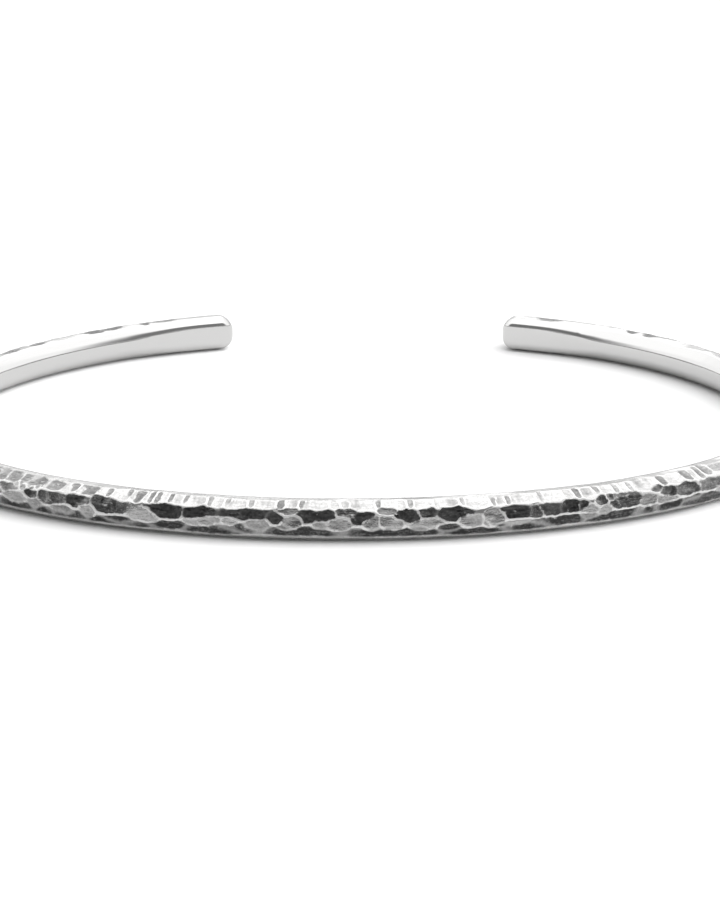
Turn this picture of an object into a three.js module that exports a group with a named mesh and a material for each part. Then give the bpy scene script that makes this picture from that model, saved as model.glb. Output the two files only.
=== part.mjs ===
// A hammered silver cuff bangle, lying on its side: one bar of sterling silver bent to an oval
// that is open at the back. The bar is domed, with a flat inner side and a narrow flat foot. It
// is smooth inside and underneath, and hammered on top and outside, where flat blows meet in
// rounded ridges. Both ends are rounded, and the flat inner side grows taller towards them.
//
// Lengths are in millimetres and turns in degrees. X runs across the wrist, +Y to the open
// back and +Z up. A place on the bar is told by two numbers: along, the length from the
// middle of the front, positive to +X, and turn, the angle round the bar from straight
// outwards, with 90 on top, 180 inside and -90 underneath.

import * as THREE from "three";

// The oval of the bar's centre line: half an ellipse in front, and a deeper, fuller half at
// the back, where the oval is left open.
const HALF_SPAN = 31.55;
const FRONT_DEPTH = 23.4;
const BACK_DEPTH = 29.75;
const BACK_FULLNESS = 2.1; // superellipse power
const MOUTH_TURN = 19.4; // about the oval's middle, from straight back to each end
const END_BACK = 1.26; // how far the bar's ends stand behind its centre line

// The bar before it is hammered, from its centre line.
const BAR_OUT = 1.66;
const BAR_IN = 1.5; // to the flat inner side
const BAR_UP = 1.35;
const BAR_FOOT = 1.33; // to the flat foot, which rests on the table
const BAR_DOME = 1.61; // how far in the dome would reach, if the inner side weren't flat
const END_DOME = 2.04; // the same near the ends
const END_DOME_FROM = 10; // distances from an end, between which the dome changes
const END_DOME_TO = 3;
const FULLNESS = 2.1; // superellipse power of the dome
const EDGE = 0.15; // how widely the dome blends into the inner side

// The rounded ends.
const END_LENGTH = 1.2;
const END_POWER = 2.0;

// Hammering.
const RIDGE = 0.07; // how widely two blows blend where they meet
const SPREAD = 1.4; // a blow's hollow is shallow enough to reach this many footprints
const FACE_BOWL = 0.02; // least hollow of a blow across the bar, in 1/mm
const REACH_ALONG = 4.5;
const REACH_TURN = 75;
const LIGHTER_FROM = 62; // along, where the blows begin to fade towards the ends
const LIGHTER_TO = 77;
const LIGHTEST = 0.25;

// The larger blows on the front of the cuff, one by one, and those that stand out on its arms.
// A row is a blow: where its middle lies, the turn that its face looks to, the footprint and
// depth it would have alone, the turn of its footprint on the bar, and its fall along the bar.
const COLUMNS = ["along", "turn", "faces", "long", "wide", "deep", "skew", "lean"];
const TOP_BLOWS = [
  [-26.2, 68, 70, 1.92, 2.4, 0.16, 0, 0.08],
  [-25, 68, 73, 1.92, 2.4, 0.16, 0, -0.09],
  [-23.8, 68, 71, 1.76, 2.4, 0.17, 0, 0.04],
  [-22.9, 68, 69, 1.28, 2.4, 0.17, 0, -0.06],
  [-21.5, 68, 72, 1.6, 2.4, 0.17, 0, -0.04],
  [-20.5, 68, 70, 1.6, 2.4, 0.17, 0, 0.08],
  [-19.1, 68, 71, 1.44, 2.4, 0.17, 0, 0.04],
  [-18.3, 68, 65, 0.8, 1.8, 0.12, 0, -0.06],
  [-17.65, 68, 74, 0.8, 2.4, 0.15, 0, 0.11],
  [-16.45, 68, 70, 1.44, 2.4, 0.17, 0, 0.05],
  [-15.6, 68, 69, 0.8, 1.8, 0.12, 0, -0.06],
  [-14.2, 68, 65, 1.12, 1.8, 0.11, 0, -0.04],
  [-12.85, 68, 70, 0.75, 2.4, 0.17, 0, 0.05],
  [-10.2, 71, 67, 0.8, 1.8, 0.12, 0, 0.05],
  [-8.9, 71, 68, 1.4, 1.8, 0.11, 0, 0.03],
  [-7.4, 71, 71, 0.9, 1.8, 0.12, 0, 0.07],
  [-6.1, 71, 67, 1.2, 1.8, 0.11, 0, 0.05],
  [-4.4, 71, 68, 1.2, 1.8, 0.11, 0, 0.03],
  [-2.6, 71, 71, 0.9, 1.8, 0.12, 0, 0.07],
  [-1, 71, 67, 1.6, 1.8, 0.11, 0, 0.05],
  [1.9, 71, 66, 1.5, 1.8, 0.11, 0, -0.04],
  [3.6, 71, 69, 1, 1.8, 0.12, 0, -0.03],
  [5.8, 71, 68, 1.1, 1.8, 0.12, 0, 0.03],
  [7.6, 71, 71, 1.3, 1.8, 0.11, 0, 0.07],
  [9.3, 71, 67, 1.3, 1.8, 0.11, 0, 0.05],
  [12.4, 68, 70, 1.5, 1.8, 0.11, 0, 0.07],
  [14.5, 68, 66, 1.3, 1.8, 0.11, 0, 0.05],
  [16.8, 68, 65, 0.9, 1.8, 0.12, 0, -0.04],
  [18.2, 68, 68, 0.8, 1.8, 0.12, 0, -0.04],
  [20.8, 68, 65, 1.3, 1.8, 0.11, 0, -0.06],
  [21.7, 68, 70, 0.8, 1.8, 0.12, 0, 0.11],
  [22.5, 68, 72, 0.7, 2.4, 0.17, 0, -0.04],
  [23.5, 68, 66, 1.1, 1.8, 0.12, 0, 0.08],
  [24.5, 68, 73, 0.7, 2.4, 0.17, 0, -0.09],
  [26.3, 68, 74, 0.7, 2.4, 0.17, 0, 0.11],
];
const UPPER_BLOWS = [
  [-26, 22, 24, 2.2, 1.3, 0.14, 0, 0],
  [-24, 20, 20, 1.6, 1, 0.13, 20, 0],
  [-22.6, 34, 36, 1.4, 0.9, 0.12, -20, 0],
  [-20.7, 21, 24, 0.9, 0.8, 0.14, 25, 0],
  [-19.7, 22, 18, 0.9, 1, 0.13, 0, 0],
  [-18.8, 16, 21, 1.9, 1.3, 0.17, -15, 0],
  [-17.2, 20, 27, 1.5, 1.4, 0.18, -35, 0],
  [-15.4, 37, 37, 1.1, 0.9, 0.15, 35, 0],
  [-14.7, 16, 24, 2.1, 1.3, 0.19, 15, 0],
  [-10.8, 22, 28, 2.3, 1.4, 0.19, -15, 0],
  [-8.6, 26, 30, 1.9, 1.2, 0.18, -10, 0],
  [-5.4, 32, 33, 3, 0.8, 0.15, 0, 0],
  [-3.7, 22, 27, 1.1, 1.1, 0.17, 15, 0],
  [-2.9, 43, 41, 1.3, 0.6, 0.14, 0, 0],
  [-1.05, 34, 35, 2.2, 1.3, 0.18, 0, 0],
  [1.75, 24, 30, 1.4, 1.6, 0.19, -22, 0],
  [0.9, 42, 41, 1.6, 0.7, 0.15, -10, 0],
  [3.5, 47, 45, 1.2, 0.6, 0.14, -10, 0],
  [4.75, 33, 35, 1.5, 1.4, 0.18, 10, 0],
  [6.1, 39, 38, 1.4, 0.8, 0.15, 0, 0],
  [7.7, 36, 35, 1.8, 1.1, 0.17, -10, 0],
  [11.7, 19, 25, 1.9, 1.5, 0.18, 10, 0],
  [13, 13, 14, 0.9, 1.2, 0.14, 0, 0],
  [14.1, 23, 22, 1.7, 1.2, 0.15, 12, 0],
  [15.3, 25, 27, 1.4, 1.2, 0.17, -10, 0],
  [16.2, 19, 22, 0.7, 0.8, 0.14, 0, 0],
  [17.7, 30, 30, 0.7, 0.7, 0.13, -30, 0],
  [19.15, 33, 36, 1.7, 0.6, 0.12, 0, 0],
  [19.2, 10, 18, 2.2, 1.2, 0.18, 12, 0],
  [20.9, 9, 8, 1.4, 1, 0.13, -10, 0],
  [21.7, 39, 38, 1.1, 0.5, 0.12, -15, 0],
  [22.6, 26, 27, 1.3, 1.1, 0.16, 0, 0],
  [24, 20, 22, 1.7, 1.1, 0.16, 35, 0],
  [26.1, 16, 17, 2, 1.3, 0.15, 0, 0],
];
const MIDDLE_BLOWS = [
  [-24.6, 0, 0, 1.9, 0.9, 0.13, 15, 0],
  [-22, 1, 2, 1.7, 0.9, 0.13, 20, 0],
  [-20.3, -6, -4, 1.4, 0.9, 0.13, -25, 0],
  [-18.2, -14, -8, 1.7, 0.8, 0.13, -20, 0],
  [-16.4, -8, -2, 1, 0.9, 0.13, 0, 0],
  [-12.4, 10, 4, 2, 1.3, 0.16, 12, 0],
  [-8.4, -3, 0, 2, 1.1, 0.14, -12, 0],
  [-6.6, 5, 4, 1, 0.6, 0.11, 20, 0],
  [-4.8, 1, -1, 1.7, 1, 0.14, 0, 0],
  [-2.5, 16, 6, 0.9, 1, 0.14, -25, 0],
  [-3, 0, -8, 0.9, 0.6, 0.12, 0, 0],
  [-0.6, 3, 2, 1.3, 0.7, 0.12, 0, 0],
  [0.45, 10, 4, 1.6, 1.4, 0.16, -18, 0],
  [2.5, 18, 7, 0.9, 1, 0.14, 0, 0],
  [2.6, 0, -9, 0.9, 0.6, 0.12, 0, 0],
  [3.6, 16, 7, 1.3, 0.9, 0.13, 15, 0],
  [3.8, -1, -9, 1, 0.6, 0.12, 0, 0],
  [5.9, 7, 4, 2.2, 0.8, 0.13, 12, 0],
  [5.7, -7, -6, 1.7, 0.6, 0.12, 10, 0],
  [8.8, 8, 4, 1.4, 1.4, 0.16, 12, 0],
  [9.9, 2, -4, 0.9, 0.8, 0.12, 0, 0],
  [10.3, 25, 10, 0.9, 0.9, 0.12, 0, 0],
  [11.8, -10, -3, 1.8, 0.5, 0.11, 0, 0],
  [16.7, 6, 4, 1.1, 0.8, 0.13, 20, 0],
  [16.6, -11, -8, 1.3, 0.6, 0.12, 0, 0],
  [17.8, 2, 2, 1, 1, 0.13, -20, 0],
  [22.3, 3, 4, 1.5, 0.8, 0.13, 10, 0],
];
const LOWER_BLOWS = [
  [-25.2, -16, -14, 4.1, 0.8, 0.09, 0, 0],
  [-22, -18, -16, 4.1, 0.7, 0.09, 15, 0],
  [-19.6, -19, -18, 1.7, 0.6, 0.09, 0, 0],
  [-17.9, -17, -16, 3.4, 1.2, 0.1, 0, 0],
  [-15.2, -24, -22, 2.4, 0.5, 0.08, 0, 0],
  [-14, -19, -18, 2.7, 0.7, 0.08, 0, 0],
  [-12.6, -24, -22, 2.4, 0.5, 0.08, 0, 0],
  [-11, -18, -18, 4.8, 0.8, 0.09, 0, 0],
  [-7.8, -26, -22, 3.2, 0.7, 0.09, 0, 0],
  [-6.1, -15, -15, 4.1, 1.1, 0.1, 0, 0],
  [-1.7, -19, -18, 6.8, 0.8, 0.09, 0, 0],
  [3.6, -23, -20, 6.1, 0.7, 0.09, 0, 0],
  [7.5, -15, -14, 2, 0.8, 0.09, 0, 0],
  [9, -27, -24, 3.4, 0.6, 0.09, 0, 0],
  [10.6, -13, -14, 1.9, 0.8, 0.09, 0, 0],
  [12.4, -22, -20, 3.2, 0.8, 0.09, 0, 0],
  [14.6, -14, -14, 4.9, 1.1, 0.11, 0, 0],
  [18.6, -20, -19, 4.8, 0.8, 0.1, 0, 0],
  [20.7, -18, -18, 2.4, 0.8, 0.09, 0, 0],
  [22.4, -18, -18, 2.4, 0.8, 0.09, 0, 0],
  [24.8, -12, -13, 1.8, 1, 0.12, 15, 0],
];
const BACK_BLOWS = [
  [-60, 78, 80, 2.3, 0.95, 0.15, 0, 0],
  [-63, 76, 78, 1.49, 0.95, 0.2, 0, 0],
  [-68.7, 80, 88, 1.72, 0.85, 0.18, 0, 0],
  [-70.3, 80, 88, 1.72, 0.75, 0.15, 0, 0],
  [-75, 80, 84, 2.3, 0.65, 0.09, 0, 0],
  [76.8, 80, 86, 1.72, 0.75, 0.12, 0, 0],
  [69.1, 80, 88, 0.92, 0.75, 0.15, 0, 0],
  [67.4, 80, 88, 1.15, 0.75, 0.15, 0, 0],
  [69, 128, 126, 4.5, 0.7, 0.04, 0, 0],
  [65, 128, 125, 5, 0.7, 0.05, 0, 0],
  [60.5, 127, 125, 5.5, 0.7, 0.05, 0, 0],
  [55.5, 127, 126, 5.5, 0.7, 0.04, 0, 0],
];
const CHARTED_TO = 26.8; // along, either way, where the chart of the front ends

// The rows of blows on the rest of the bar: where each lies round it, the step from one blow
// to the next, and the length, width and depth of a blow. The stagger moves a row along
// against the others. The last row runs along the whole bar.
const ROWS = [
  { turn: 70, pitch: 1.5, long: 1.8, wide: 1.4, deep: 0.1, stagger: 0.0, whole: false },
  { turn: 22, pitch: 1.7, long: 2.0, wide: 1.1, deep: 0.15, stagger: 0.9, whole: false },
  { turn: 0, pitch: 2.4, long: 1.6, wide: 0.8, deep: 0.13, stagger: 0.2, whole: false },
  { turn: -20, pitch: 2.3, long: 2.4, wide: 0.8, deep: 0.09, stagger: 1.3, whole: false },
  { turn: 92, pitch: 2.2, long: 2.4, wide: 1.2, deep: 0.05, stagger: 0.6, whole: true },
];

// How unevenly the hand strikes, either way from each row's own value.
const UNEVEN = { along: 0.4, turn: 5, faces: 5, size: 0.25, deep: 0.15, skew: 20, lean: 0.07 };

// How finely the bar is faceted.
const STATIONS = 236;
const FRONT_CROWDING = 0.3; // how much closer the stations stand at the front
const END_RINGS = 3;
const TURNS = [
  -30, -12, 6, 22, 38, 54, 72, 90, 110, 130, 148, 162, 180, 198, 212, 228, 243, 258, 282, 304,
];

const RADIANS = Math.PI / 180;

/** A number from -1 to 1 that looks random and is the same each time. */
function scatter(count, salt) {
  const golden = 0.61803398875;
  const wild = Math.abs(Math.sin((count + 1) * 12.9898 + (salt + 1) * 78.233) * 43.7585);
  return 2 * ((wild + count * golden) % 1) - 1;
}

/** Point of the centre line at an angle about the oval's middle, from the front. */
function ovalPoint(angle) {
  const across = Math.sin(angle);
  const ahead = Math.cos(angle);
  if (ahead > 0) return new THREE.Vector2(HALF_SPAN * across, -FRONT_DEPTH * ahead);
  const share = 2 / BACK_FULLNESS;
  const spread = Math.sign(across) * Math.abs(across) ** share;
  return new THREE.Vector2(HALF_SPAN * spread, BACK_DEPTH * (-ahead) ** share);
}

/** Half of the centre line, from the middle of the front to the +X end, with its lengths. */
function measureOval() {
  const steps = 2000;
  const last = (180 - MOUTH_TURN) * RADIANS;
  const lengths = [0];
  for (let step = 1; step <= steps; step += 1) {
    const here = ovalPoint((last * step) / steps);
    const before = ovalPoint((last * (step - 1)) / steps);
    lengths.push(lengths[step - 1] + here.distanceTo(before));
  }
  return { steps, last, lengths, total: lengths[steps] };
}

const OVAL = measureOval();

/** Angle about the oval's middle at a length along the bar. */
function angleAt(along) {
  const wanted = Math.min(Math.abs(along), OVAL.total);
  let high = OVAL.lengths.findIndex((length) => length >= wanted);
  high = Math.max(high, 1);
  const before = OVAL.lengths[high - 1];
  const part = (wanted - before) / (OVAL.lengths[high] - before);
  return (Math.sign(along) * OVAL.last * (high - 1 + part)) / OVAL.steps;
}

/** The centre line's place and outward direction at a length along the bar, in plan. */
function frameAt(along) {
  const angle = angleAt(along);
  const step = OVAL.last / OVAL.steps;
  const ahead = ovalPoint(angle + step).sub(ovalPoint(angle - step)).normalize();
  return { place: ovalPoint(angle), outward: new THREE.Vector2(ahead.y, -ahead.x) };
}

/** The smaller of two radii, with the corner between them rounded off over a width. */
function blendedLeast(first, second, width) {
  if (second === Infinity) return first;
  const near = Math.max(width - Math.abs(first - second), 0) / width;
  return Math.min(first, second) - (near ** 3 * width) / 6;
}

/** Radius of the bar before hammering. */
function barRadius(turn, along) {
  const out = Math.cos(turn * RADIANS);
  const up = Math.sin(turn * RADIANS);
  const left = OVAL.total - Math.abs(along);
  const nearEnd = 1 - THREE.MathUtils.smoothstep(left, END_DOME_TO, END_DOME_FROM);
  const domeIn = BAR_DOME + (END_DOME - BAR_DOME) * nearEnd;
  const wide = out > 0 ? out / BAR_OUT : -out / domeIn;
  const high = Math.abs(up) / BAR_UP;
  let radius = (wide ** FULLNESS + high ** FULLNESS) ** (-1 / FULLNESS);
  if (out < 0) radius = blendedLeast(radius, BAR_IN / -out, EDGE);
  return up < 0 ? Math.min(radius, BAR_FOOT / -up) : radius;
}

/** The blows of a chart, with each value under its column's name. */
function readChart(rows) {
  return rows.map((row) => Object.fromEntries(COLUMNS.map((name, place) => [name, row[place]])));
}

/** Every blow on the bar: the charted ones, then the rows, each blow a little uneven. */
function strikeRows() {
  const charts = [TOP_BLOWS, UPPER_BLOWS, MIDDLE_BLOWS, LOWER_BLOWS, BACK_BLOWS];
  const blows = charts.flatMap(readChart);
  ROWS.forEach((row, rank) => {
    const half = Math.floor(OVAL.total / row.pitch);
    for (let count = -half; count <= half; count += 1) {
      const seed = count + 200 * rank + 400;
      const size = 1 + UNEVEN.size * scatter(seed, 3);
      const along = count * row.pitch + row.stagger + UNEVEN.along * scatter(seed, 1);
      if (Math.abs(along) < CHARTED_TO && !row.whole) continue;
      const light = THREE.MathUtils.smoothstep(Math.abs(along), LIGHTER_FROM, LIGHTER_TO);
      const deep = row.deep * (1 + UNEVEN.deep * scatter(seed, 4));
      const turn = row.turn + UNEVEN.turn * scatter(seed, 2);
      blows.push({
        along,
        turn,
        faces: turn + UNEVEN.faces * scatter(seed, 7),
        long: row.long * size,
        wide: row.wide * size,
        deep: deep * (1 - (1 - LIGHTEST) * light),
        skew: UNEVEN.skew * scatter(seed, 5),
        lean: UNEVEN.lean * scatter(seed, 6) * (1 - light),
      });
    }
  });
  return blows;
}

/** Radius of the flat that one blow leaves, or Infinity out of its reach. */
function blowRadius(blow, along, turn) {
  const ahead = along - blow.along;
  const round = ((turn - blow.faces + 540) % 360) - 180;
  if (Math.abs(ahead) > REACH_ALONG || Math.abs(round) > REACH_TURN) return Infinity;
  const tilt = (blow.turn - blow.faces) * RADIANS;
  const level = (barRadius(blow.turn, blow.along) - blow.deep) * Math.cos(tilt);
  const across = level * (Math.tan(round * RADIANS) - Math.tan(tilt));
  const skew = blow.skew * RADIANS;
  const forward = ahead * Math.cos(skew) + across * Math.sin(skew);
  const sideways = across * Math.cos(skew) - ahead * Math.sin(skew);
  const bowlAlong = blow.deep / ((blow.long * SPREAD) / 2) ** 2;
  const bowlAcross = blow.deep / ((blow.wide * SPREAD) / 2) ** 2 - 1 / (2 * level);
  const hollow = bowlAlong * forward ** 2 + Math.max(bowlAcross, FACE_BOWL) * sideways ** 2;
  return (level + blow.lean * forward + hollow) / Math.cos(round * RADIANS);
}

/** Radius of the hammered bar. */
function hammeredRadius(blows, along, turn) {
  let radius = barRadius(turn, along);
  for (const blow of blows) radius = blendedLeast(radius, blowRadius(blow, along, turn), RIDGE);
  return radius;
}

/** How far the bar has closed at a length along it: 1 on the bar, 0 at the very end. */
function endScale(along) {
  const past = (Math.abs(along) - (OVAL.total - END_LENGTH)) / END_LENGTH;
  return past <= 0 ? 1 : Math.max(1 - past ** END_POWER, 0) ** (1 / END_POWER);
}

/** The lengths along the bar at which it has a ring of points, without its two end points. */
function ringPlaces() {
  const straight = OVAL.total - END_LENGTH;
  const endPlaces = [];
  for (let ring = 1; ring <= END_RINGS; ring += 1) {
    const angle = (ring * 90 * RADIANS) / (END_RINGS + 1);
    endPlaces.push(straight + END_LENGTH * Math.sin(angle));
  }
  const places = [];
  for (let station = 0; station <= STATIONS; station += 1) {
    const even = (2 * station) / STATIONS - 1;
    places.push(straight * (even + FRONT_CROWDING * (even ** 3 - even)));
  }
  return [...endPlaces.map((place) => -place).reverse(), ...places, ...endPlaces];
}

/** The hammered bar as one closed mesh. */
function hammeredBar() {
  const blows = strikeRows();
  const places = ringPlaces();
  const sides = TURNS.length;
  const back = ovalPoint(OVAL.last).y + END_BACK;
  const middle = (back - FRONT_DEPTH - BAR_OUT) / 2;
  const points = [];
  for (const along of places) {
    const { place, outward } = frameAt(along);
    const scale = endScale(along);
    for (const turn of TURNS) {
      const radius = hammeredRadius(blows, along, turn) * scale;
      const out = radius * Math.cos(turn * RADIANS);
      const up = radius * Math.sin(turn * RADIANS);
      points.push(place.x + outward.x * out, place.y + outward.y * out - middle, BAR_FOOT + up);
    }
  }
  for (const along of [-OVAL.total, OVAL.total]) {
    const { place } = frameAt(along);
    points.push(place.x, place.y - middle, BAR_FOOT);
  }
  const faces = [];
  for (let ring = 0; ring < places.length - 1; ring += 1) {
    for (let side = 0; side < sides; side += 1) {
      const a = ring * sides + side;
      const b = ring * sides + ((side + 1) % sides);
      faces.push(a, a + sides, b);
      faces.push(b, a + sides, b + sides);
    }
  }
  const lastRing = (places.length - 1) * sides;
  const firstEnd = places.length * sides;
  for (let side = 0; side < sides; side += 1) {
    const next = (side + 1) % sides;
    faces.push(firstEnd, side, next);
    faces.push(firstEnd + 1, lastRing + next, lastRing + side);
  }
  const geometry = new THREE.BufferGeometry();
  geometry.setAttribute("position", new THREE.Float32BufferAttribute(points, 3));
  geometry.setIndex(faces);
  geometry.computeVertexNormals();
  return geometry;
}

const silver = new THREE.MeshStandardMaterial({ color: 0xc9c8c6, roughness: 0.22, metalness: 1 });

const cuff = new THREE.Mesh(hammeredBar(), silver);
cuff.name = "cuff";

const bangle = new THREE.Group();
bangle.add(cuff);

export default bangle;
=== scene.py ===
"""A hammered silver cuff bangle, lying on its side on a pale table.

The cuff is one bar of sterling silver, bent to an oval that is open at the back. A place on
the bar is told by two numbers: along, in millimetres from the middle of the front and
positive to +X, and turn, in degrees round the bar from straight outwards, with 90 on top,
180 inside and -90 underneath. Sizes in the classes are in millimetres; meshes are in metres.
"""

import logging
import math
from dataclasses import dataclass, field, fields
from enum import Enum

import bpy
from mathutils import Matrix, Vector


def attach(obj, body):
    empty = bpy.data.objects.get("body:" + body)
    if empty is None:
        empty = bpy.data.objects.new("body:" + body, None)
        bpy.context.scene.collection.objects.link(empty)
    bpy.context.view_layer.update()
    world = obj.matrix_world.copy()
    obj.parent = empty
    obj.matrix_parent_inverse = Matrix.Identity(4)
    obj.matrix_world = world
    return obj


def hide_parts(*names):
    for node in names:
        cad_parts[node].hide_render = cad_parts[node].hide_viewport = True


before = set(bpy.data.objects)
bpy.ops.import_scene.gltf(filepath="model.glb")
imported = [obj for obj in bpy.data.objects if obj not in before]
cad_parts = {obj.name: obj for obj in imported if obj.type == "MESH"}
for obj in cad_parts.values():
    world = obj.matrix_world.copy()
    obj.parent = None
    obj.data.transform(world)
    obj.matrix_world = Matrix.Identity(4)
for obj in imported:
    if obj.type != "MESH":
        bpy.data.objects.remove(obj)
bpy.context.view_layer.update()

MM = 0.001
Socket = bpy.types.NodeSocket
Color = tuple[float, float, float, float]

logging.basicConfig(level=logging.INFO, format="%(name)s: %(message)s")
log = logging.getLogger("cuff")


# ------------------------------------------------------------ node trees


class Number:
    """What comes out of a node. A number also takes the signs of a plain sum."""

    def __init__(self, wiring: "Wiring", socket: Socket) -> None:
        """Keeps the socket and the wiring of its tree."""
        self.wiring = wiring
        self.socket = socket

    def __add__(self, other: "Given") -> "Number":
        """Both together."""
        return self.wiring.math("ADD", self, other)

    def __sub__(self, other: "Given") -> "Number":
        """This less the other."""
        return self.wiring.math("SUBTRACT", self, other)

    def __rsub__(self, other: "Given") -> "Number":
        """The other less this."""
        return self.wiring.math("SUBTRACT", other, self)

    def __mul__(self, other: "Given") -> "Number":
        """This times the other."""
        return self.wiring.math("MULTIPLY", self, other)

    def __truediv__(self, other: "Given") -> "Number":
        """This divided by the other."""
        return self.wiring.math("DIVIDE", self, other)

    def __rtruediv__(self, other: "Given") -> "Number":
        """The other divided by this."""
        return self.wiring.math("DIVIDE", other, self)

    def __pow__(self, other: "Given") -> "Number":
        """This to the power of the other."""
        return self.wiring.math("POWER", self, other)

    def __neg__(self) -> "Number":
        """This with its sign turned round."""
        return self.wiring.math("MULTIPLY", self, -1.0)

    def __abs__(self) -> "Number":
        """This without its sign."""
        return self.wiring.math("ABSOLUTE", self)

    __radd__ = __add__
    __rmul__ = __mul__


Given = Number | Socket | float | int | bool | str | tuple


class Wiring:
    """Adds nodes to a tree and joins them, so that a tree reads as a list of sums."""

    def __init__(self, tree: bpy.types.NodeTree) -> None:
        """Starts on a tree."""
        self.tree = tree

    def put(self, kind: str, inputs: dict[str | int, Given], **settings: object) -> bpy.types.Node:
        """Adds one node.

        Args:
            kind: the node's type name.
            inputs: what goes into each named or numbered input.
            **settings: the node's own properties.

        Returns:
            The new node.
        """
        node = self.tree.nodes.new(kind)
        for name, value in settings.items():
            setattr(node, name, value)
        for name, value in inputs.items():
            self.feed(node.inputs[name], value)
        return node

    def feed(self, socket: Socket, value: Given) -> None:
        """Joins something to an input, or writes a plain value on it.

        Args:
            socket: the input.
            value: what goes in.
        """
        if isinstance(value, Number):
            value = value.socket
        if isinstance(value, Socket):
            self.tree.links.new(value, socket)
        else:
            socket.default_value = value

    def take(
        self, kind: str, inputs: dict[str | int, Given], output: str | int = 0, **settings: object
    ) -> Number:
        """Adds one node, as put does, and takes what comes out of a named or numbered output."""
        return Number(self, self.put(kind, inputs, **settings).outputs[output])

    def math(self, step: str, *values: Given) -> Number:
        """The result of one step, such as SINE, on one to three numbers."""
        return self.take("ShaderNodeMath", dict(enumerate(values)), operation=step)

    def vector(self, step: str, *values: Given) -> Number:
        """One step with vectors.

        Args:
            step: the operation, such as SCALE.
            *values: its vectors; the number of a SCALE comes last.

        Returns:
            The vector, or for LENGTH the number.
        """
        places = (0, 3) if step == "SCALE" else range(len(values))
        inputs = dict(zip(places, values))
        return self.take("ShaderNodeVectorMath", inputs, int(step == "LENGTH"), operation=step)

    def split(self, vector: Given) -> list[Number]:
        """The three parts of a vector."""
        node = self.put("ShaderNodeSeparateXYZ", {0: vector})
        return [Number(self, part) for part in node.outputs]

    def smooth(self, value: Given, start: Given, end: Given) -> Number:
        """A value's smooth rise from 0 at start to 1 at end."""
        inputs = {"Value": value, "From Min": start, "From Max": end}
        return self.take("ShaderNodeMapRange", inputs, interpolation_type="SMOOTHSTEP")

    def between(self, share: Number, start: Given, end: Given) -> Number:
        """The number that is a share of the way from start to end."""
        return start + share * (end - start)

    def blend(self, share: Given, first: Given, second: Given) -> Number:
        """The colour that is a share of the way from the first to the second."""
        return self.take("ShaderNodeMix", {0: share, 6: first, 7: second}, 2, data_type="RGBA")

    def choose(self, test: Given, otherwise: Given, value: Given) -> Number:
        """The value where the test is above 0, and otherwise the other number."""
        return self.take("GeometryNodeSwitch", {0: test, 1: otherwise, 2: value}, input_type="FLOAT")

    def stored(self, name: str) -> Number:
        """The number stored under a name on the mesh."""
        return self.take("GeometryNodeInputNamedAttribute", {"Name": name}, data_type="FLOAT")

    def store(
        self, mesh: Given, name: str, value: Given, kind: str = "FLOAT", where: Given = True
    ) -> Number:
        """The mesh with a value, FLOAT or FLOAT_VECTOR, stored on the points that get it."""
        inputs = {"Geometry": mesh, "Selection": where, "Name": name, "Value": value}
        return self.take("GeometryNodeStoreNamedAttribute", inputs, data_type=kind, domain="POINT")


def wired(owner: bpy.types.Material | bpy.types.World) -> Wiring:
    """The wiring of an empty tree on a material or a world.

    Args:
        owner: the material or the world.

    Returns:
        The wiring.
    """
    owner.use_nodes = True
    owner.node_tree.nodes.clear()
    return Wiring(owner.node_tree)


def placed(name: str, data: bpy.types.ID) -> bpy.types.Object:
    """An object in the scene.

    Args:
        name: the object's name.
        data: its mesh or its lens.

    Returns:
        The object, at the origin.
    """
    thing = bpy.data.objects.new(name, data)
    bpy.context.scene.collection.objects.link(thing)
    return thing


# ------------------------------------------------------------ hammering


@dataclass(frozen=True)
class Blow:
    """One hammer blow, on the bar.

    It has the middle of its face, the turn that the face looks to, the footprint that it would
    leave alone, the share of darkening left in it, partly oxidised silver and partly a painted
    reflection of the dark side in front, and its lie: skew in degrees, lean as a slope.
    """

    along: float
    turn: float
    faces: float
    long: float
    wide: float
    deep: float
    oxide: float
    skew: float = 0.0
    lean: float = 0.0


@dataclass(frozen=True)
class TopRow:
    """How the charted blows on top lie, besides what their own table says."""

    turn: float = 68.0
    middle_turn: float = 71.0
    middle_from: float = -11.6
    middle_to: float = 9.3
    wide: float = 1.8
    dark_wide: float = 2.4
    dark_from: float = 0.4

    def blow(
        self, along: float, faces: float, long: float, deep: float, oxide: float, lean: float
    ) -> Blow:
        """One blow, from the columns of its table.

        Args:
            along: the place of its middle.
            faces: the turn that its face looks to.
            long: the length of its footprint along the bar.
            deep: its depth.
            oxide: the share of darkening left in it, partly oxidised silver and partly painted shade.
            lean: how far its face rises along the bar.

        Returns:
            The blow.
        """
        in_middle = self.middle_from <= along <= self.middle_to
        turn = self.middle_turn if in_middle else self.turn
        wide = self.dark_wide if oxide >= self.dark_from else self.wide
        return Blow(along, turn, faces, long, wide, deep, oxide, lean=lean)
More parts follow.
